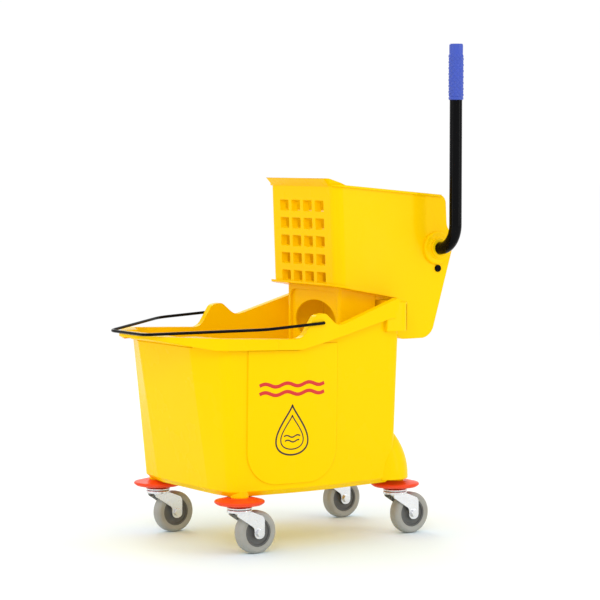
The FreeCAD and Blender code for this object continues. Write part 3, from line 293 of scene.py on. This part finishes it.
TUBE_RADIUS = 0.0115
SMALL_GAP = 0.0001            # between the grip and the tube and cap around it
GRIP_AROUND = 132
GRIP_ALONG = 240
NUBS_AROUND = 9
NUB_ROW = 0.0054
NUB_HEIGHT = 0.0016
NUB_RADIUS = 0.0043
SMOOTH_TOP = 0.019
SMOOTH_FOOT = 0.005
TOP_NARROWING = 0.0014
EDGE_ROUND = 0.0022
TOP_BLEND = 0.006             # length over which the nubbed part runs into the plain top
FOOT_STEP = 0.0004
NUB_SHARPNESS = 1.2
RING_CROWDING = 0.02          # rings sit closer together at both ends


def grip_radius(angle, height, length, full):
    """Radius of the grip: nubbed over most of its length, plain and slimmer at the top."""
    top_share = min(max((height - (length - SMOOTH_TOP)) / TOP_BLEND, 0), 1)
    base = full - NUB_HEIGHT
    plain = full - TOP_NARROWING
    swell = 0.0
    first = SMOOTH_FOOT + NUB_RADIUS
    rows = int((length - SMOOTH_TOP - first) / NUB_ROW)
    nearest = round((height - first) / NUB_ROW)
    for row in (nearest - 1, nearest, nearest + 1):
        if row < 0 or row > rows:
            continue
        pitch = 2 * math.pi / NUBS_AROUND
        shift = 0.5 * pitch * (row % 2)
        column = round((angle - shift) / pitch)
        across = (angle - shift - column * pitch) * full
        along = height - first - row * NUB_ROW
        distance = math.hypot(across, along) / NUB_RADIUS
        if distance < 1:
            swell = max(swell, (1 - distance ** 2) ** NUB_SHARPNESS)
    radius = base + NUB_HEIGHT * swell
    if height < SMOOTH_FOOT:
        radius = full - FOOT_STEP
    radius += (plain - radius) * top_share
    for gap in (height, length - height):
        if gap < EDGE_ROUND:
            radius -= EDGE_ROUND - math.sqrt(EDGE_ROUND ** 2 - (EDGE_ROUND - gap) ** 2)
    return radius


def add_grip(finishes):
    low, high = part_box("lever_grip")
    axis_x = (low[0] + high[0]) / 2
    axis_y = (low[1] + high[1]) / 2
    full = (high[0] - low[0]) / 2
    length = high[2] - low[2]
    tube_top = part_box("lever_tube")[1][2]
    bore = TUBE_RADIUS + SMALL_GAP
    verts = []
    faces = []

    def ring(radius_at, z):
        start = len(verts)
        for i in range(GRIP_AROUND):
            angle = 2 * math.pi * i / GRIP_AROUND
            radius = radius_at(angle)
            verts.append((axis_x + radius * math.cos(angle), axis_y + radius * math.sin(angle), z))
        return start

    def bridge(a, b):
        for i in range(GRIP_AROUND):
            j = (i + 1) % GRIP_AROUND
            faces.append((a + i, a + j, b + j, b + i))

    rings = [ring(lambda angle: bore, low[2])]
    for k in range(GRIP_ALONG + 1):
        share = k / GRIP_ALONG
        height = length * (share - RING_CROWDING * math.sin(2 * math.pi * share))
        height = min(max(height, SMALL_GAP), length - SMALL_GAP)
        z = low[2] + (height if 0 < k < GRIP_ALONG else length * share)
        rings.append(ring(lambda angle: grip_radius(angle, height, length, full), z))
    for lower, upper in zip(rings, rings[1:]):
        bridge(lower, upper)
    inset = ring(lambda angle: full * 0.3, high[2] - SMALL_GAP)
    bridge(rings[-1], inset)
    verts.append((axis_x, axis_y, high[2] - SMALL_GAP))
    centre = len(verts) - 1
    for i in range(GRIP_AROUND):
        faces.append((inset + i, inset + (i + 1) % GRIP_AROUND, centre))
    cap = ring(lambda angle: bore, tube_top + SMALL_GAP)
    bridge(cap, rings[0])
    verts.append((axis_x, axis_y, tube_top + SMALL_GAP))
    roof = len(verts) - 1
    for i in range(GRIP_AROUND):
        faces.append((cap + (i + 1) % GRIP_AROUND, cap + i, roof))
    grip = new_piece("lever_grip_nubbed", verts, faces, finishes["grip_vinyl"], "lever")
    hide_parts("lever_grip")


# ---------------------------------------------------------------- printed marks on the left side

MARK_PROUD = 0.00012
MARK_DEPTH = 0.0006
RAY_START_Y = -0.3            # outside the tub on its left
DROP_POINTS = 96
DROP_TAPER = 1.6
DROP_WIDEST = 0.79            # greatest value of the drop's across term
WAVE_POINTS = 72
MARK_X = 0.2345               # from the tub's front and bottom
RED_Z = 0.189
DROP_Z = 0.116


def tub_surface():
    """Ray caster on the tub as packed, in the row frame."""
    mesh = frame["nodes"]["bucket_tub"].data
    verts = [vertex.co.copy() for vertex in mesh.vertices]
    faces = [tuple(face.vertices) for face in mesh.polygons]
    return BVHTree.FromPolygons(verts, faces)


def side_point(tree, x, z):
    """Point and outward normal of the left side at (x, z)."""
    place, normal, _, _ = tree.ray_cast(Vector((x, RAY_START_Y, z)), Vector((0, 1, 0)))
    return place, normal


def stroke(tree, path, width, closed):
    """Thin inlaid strip of one width along a path of (x, z) points on the left side."""
    count = len(path)
    rows = []
    for i in range(count):
        if closed:
            before = path[i - 1]
            after = path[(i + 1) % count]
        else:
            before = path[max(i - 1, 0)]
            after = path[min(i + 1, count - 1)]
        along = Vector((after[0] - before[0], after[1] - before[1])).normalized()
        across = Vector((-along.y, along.x))
        row = []
        for side in (-0.5, -0.17, 0.17, 0.5):
            x = path[i][0] + across.x * width * side
            z = path[i][1] + across.y * width * side
            place, normal = side_point(tree, x, z)
            row.append(place + normal * MARK_PROUD)
            row.append(place - normal * MARK_DEPTH)
        rows.append(row)
    verts = [tuple(point) for row in rows for point in row]
    faces = []
    span = 8
    last = count if closed else count - 1
    for i in range(last):
        a = i * span
        b = ((i + 1) % count) * span
        for k in (0, 2, 4):
            faces.append((a + k, b + k, b + k + 2, a + k + 2))
            faces.append((a + k + 1, a + k + 3, b + k + 3, b + k + 1))
        faces.append((a, a + 1, b + 1, b))
        faces.append((a + 6, b + 6, b + 7, a + 7))
    if not closed:
        end = (count - 1) * span
        for k in (0, 2, 4):
            faces.append((k, k + 2, k + 3, k + 1))
            faces.append((end + k, end + k + 1, end + k + 3, end + k + 2))
    return verts, faces


def merge(parts):
    verts = []
    faces = []
    for part_verts, part_faces in parts:
        offset = len(verts)
        verts.extend(part_verts)
        faces.extend(tuple(index + offset for index in face) for face in part_faces)
    return verts, faces


def droplet(x, z, half_width, height):
    """Closed outline of a water drop, its point at the top."""
    points = []
    for i in range(DROP_POINTS):
        t = 2 * math.pi * i / DROP_POINTS
        across = math.sin(t) * math.sin(t / 2) ** DROP_TAPER
        points.append((x + across / DROP_WIDEST * half_width, z + height / 2 * math.cos(t)))
    return points


def wave(x_low, x_high, z, rise, length):
    points = []
    for i in range(WAVE_POINTS + 1):
        x = x_low + (x_high - x_low) * i / WAVE_POINTS
        points.append((x, z + rise * math.sin(2 * math.pi * (x - x_low) / length)))
    return points


def add_marks(finishes):
    """Generic water symbol: red waves above a double outlined drop."""
    tree = tub_surface()
    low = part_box("bucket_tub")[0]
    x = low[0] + MARK_X
    red_z = low[2] + RED_Z
    drop_z = low[2] + DROP_Z
    half = 0.066
    waves = [stroke(tree, wave(x - half, x + half, red_z + dz, 0.0028, 0.044), 0.0062, False)
             for dz in (-0.0075, 0.0075)]
    verts, faces = merge(waves)
    new_piece("wave_mark", verts, faces, finishes["red_ink"], "bucket")
    drops = [
        stroke(tree, droplet(x, drop_z, 0.037, 0.088), 0.0031, True),
        stroke(tree, droplet(x, drop_z - 0.004, 0.026, 0.060), 0.0022, True),
        stroke(tree, wave(x - 0.0165, x + 0.0165, drop_z - 0.011, 0.0018, 0.022), 0.0024, False),
        stroke(tree, wave(x - 0.0145, x + 0.0145, drop_z - 0.0195, 0.0018, 0.022), 0.0024, False),
    ]
    verts, faces = merge(drops)
    new_piece("drop_mark", verts, faces, finishes["black_ink"], "bucket")


# ---------------------------------------------------------------- build

add_camera()
add_studio()
FINISHES = make_finishes()
paint_nodes(FINISHES)
add_grip(FINISHES)
add_marks(FINISHES)
